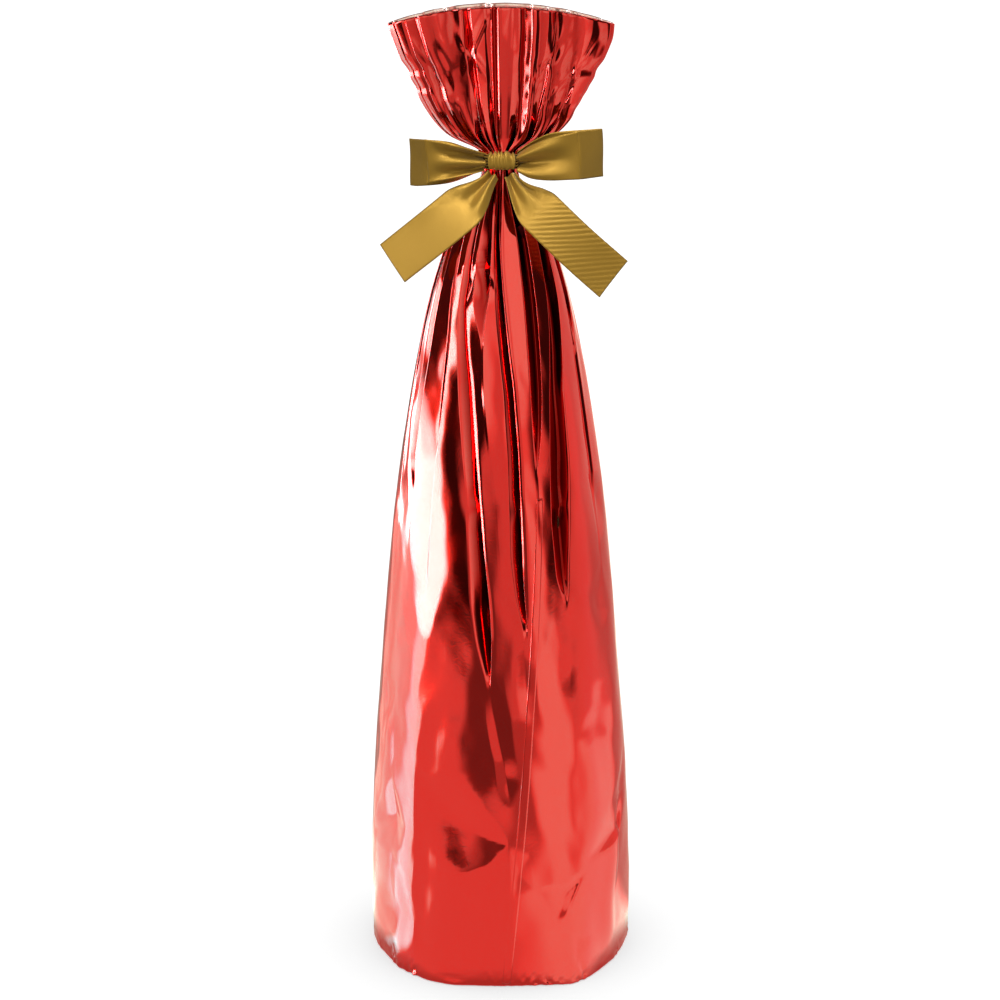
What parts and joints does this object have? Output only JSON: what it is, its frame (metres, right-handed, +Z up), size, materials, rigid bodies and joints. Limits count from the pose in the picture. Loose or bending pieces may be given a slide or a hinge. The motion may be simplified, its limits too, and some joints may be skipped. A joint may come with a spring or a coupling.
{
  "type": "wine gift bag",
  "caption": "Round-based metallic film gift bag over a wine bottle, gathered at the neck, fanned out above it and tied with a satin ribbon bow.",
  "frame": {"origin": "centre of the base disc's underside, on the surface the bag stands on", "axes": "+Z up along the bag, -Y towards the bow (the front), +X to the viewer's right"},
  "size_m": [0.1052, 0.1058, 0.381],
  "materials": {
    "red_film": "metallised mirror gloss, silver on the inside",
    "gold_satin": "satin weave",
    "bottle_glass": "clear green",
    "wine": "clear liquid",
    "cork": "raw",
    "capsule_foil": "satin foil"
  },
  "bodies": {
    "bag": {"base_disc": "red_film", "base_seam": "red_film", "bag_body": "red_film", "lap_seam": "red_film", "gathered_neck": "red_film", "bottle_glass": "bottle_glass", "wine_fill": "wine", "cork": "cork", "capsule": "capsule_foil"},
    "fan": {"mouth_fan": "red_film"},
    "ribbon_tie": {"ribbon_band": "gold_satin", "bow_knot": "gold_satin"},
    "loop_left": {"bow_loop_left": "gold_satin"},
    "loop_right": {"bow_loop_right": "gold_satin"},
    "tail_left": {"ribbon_tail_left": "gold_satin"},
    "tail_right": {"ribbon_tail_right": "gold_satin"}
  },
  "joints": [
    {"name": "fan_nod", "type": "hinge", "parent": "bag", "child": "fan", "pos_m": [0, 0, 0.327], "axis": [1, 0, 0], "range_deg": [-8, 8], "stiffness_Nm_per_rad": 0.03},
    {"name": "bow_turn", "type": "hinge", "parent": "bag", "child": "ribbon_tie", "pos_m": [0, 0, 0.3225], "axis": [0, 0, 1], "range_deg": [-12, 12]},
    {"name": "left_loop_flex", "type": "hinge", "parent": "ribbon_tie", "child": "loop_left", "pos_m": [-0.0059, -0.0124, 0.3236], "axis": [0, 0, 1], "range_deg": [-5, 25], "stiffness_Nm_per_rad": 0.001},
    {"name": "right_loop_flex", "type": "hinge", "parent": "ribbon_tie", "child": "loop_right", "pos_m": [0.0071, -0.0124, 0.3236], "axis": [0, 0, -1], "range_deg": [-5, 25], "stiffness_Nm_per_rad": 0.001},
    {"name": "left_tail_lift", "type": "hinge", "parent": "ribbon_tie", "child": "tail_left", "pos_m": [-0.0026, -0.0126, 0.3182], "axis": [-0.7071, 0, 0.7071], "range_deg": [-8, 15], "stiffness_Nm_per_rad": 0.001},
    {"name": "right_tail_lift", "type": "hinge", "parent": "ribbon_tie", "child": "tail_right", "pos_m": [0.0038, -0.0126, 0.3182], "axis": [-0.7071, 0, -0.7071], "range_deg": [-8, 15], "stiffness_Nm_per_rad": 0.001}
  ]
}
